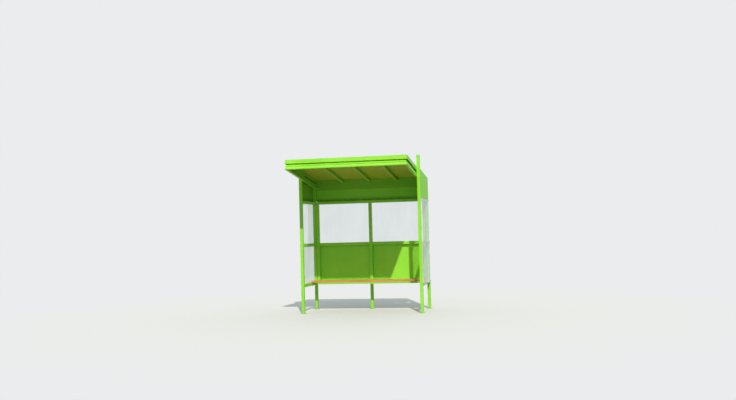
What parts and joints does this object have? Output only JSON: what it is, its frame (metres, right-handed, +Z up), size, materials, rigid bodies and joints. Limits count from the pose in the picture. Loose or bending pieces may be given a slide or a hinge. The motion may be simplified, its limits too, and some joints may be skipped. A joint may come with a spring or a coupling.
{
  "type": "bus shelter",
  "caption": "Open-fronted bus shelter of painted square steel tube with clear panes, sheet steel panels, a board bench and a roof that falls to the rear.",
  "frame": {"origin": "on the ground, under the middle of the whole outline", "axes": "+X along the shelter to the right as seen from its open front, +Y from the open front to the rear wall, +Z up"},
  "size_m": [2.075, 1.87, 2.5699],
  "materials": {
    "green_paint": "gloss lime green paint",
    "clear_pane": "clear, slightly streaked",
    "bench_wood": "varnished"
  },
  "bodies": {
    "root": {"front_left_post": "green_paint", "front_right_post": "green_paint", "rear_left_post": "green_paint", "rear_right_post": "green_paint", "rear_middle_post": "green_paint", "base_plates": "green_paint", "rear_header_rail": "green_paint", "rear_left_stile": "green_paint", "rear_left_mid_rail": "green_paint", "rear_left_bottom_rail": "green_paint", "rear_left_pane": "clear_pane", "rear_left_panel": "green_paint", "rear_right_stile": "green_paint", "rear_right_mid_rail": "green_paint", "rear_right_bottom_rail": "green_paint", "rear_right_pane": "clear_pane", "rear_right_panel": "green_paint", "rear_header_panel": "green_paint", "left_header_rail": "green_paint", "left_mid_rail": "green_paint", "left_bottom_rail": "green_paint", "left_top_rail": "green_paint", "left_header_panel": "green_paint", "left_upper_pane": "clear_pane", "left_lower_pane": "clear_pane", "right_header_rail": "green_paint", "right_mid_rail": "green_paint", "right_bottom_rail": "green_paint", "right_top_rail": "green_paint", "right_header_panel": "green_paint", "right_upper_pane": "clear_pane", "right_lower_pane": "clear_pane", "front_fascia": "green_paint", "rear_roof_beam": "green_paint", "left_roof_beam": "green_paint", "right_roof_beam": "green_paint", "roof_sheet": "green_paint", "rafter_1": "green_paint", "rafter_2": "green_paint", "rafter_3": "green_paint", "bench_board_1": "bench_wood", "bench_board_2": "bench_wood", "bench_board_3": "bench_wood"}
  },
  "joints": []
}
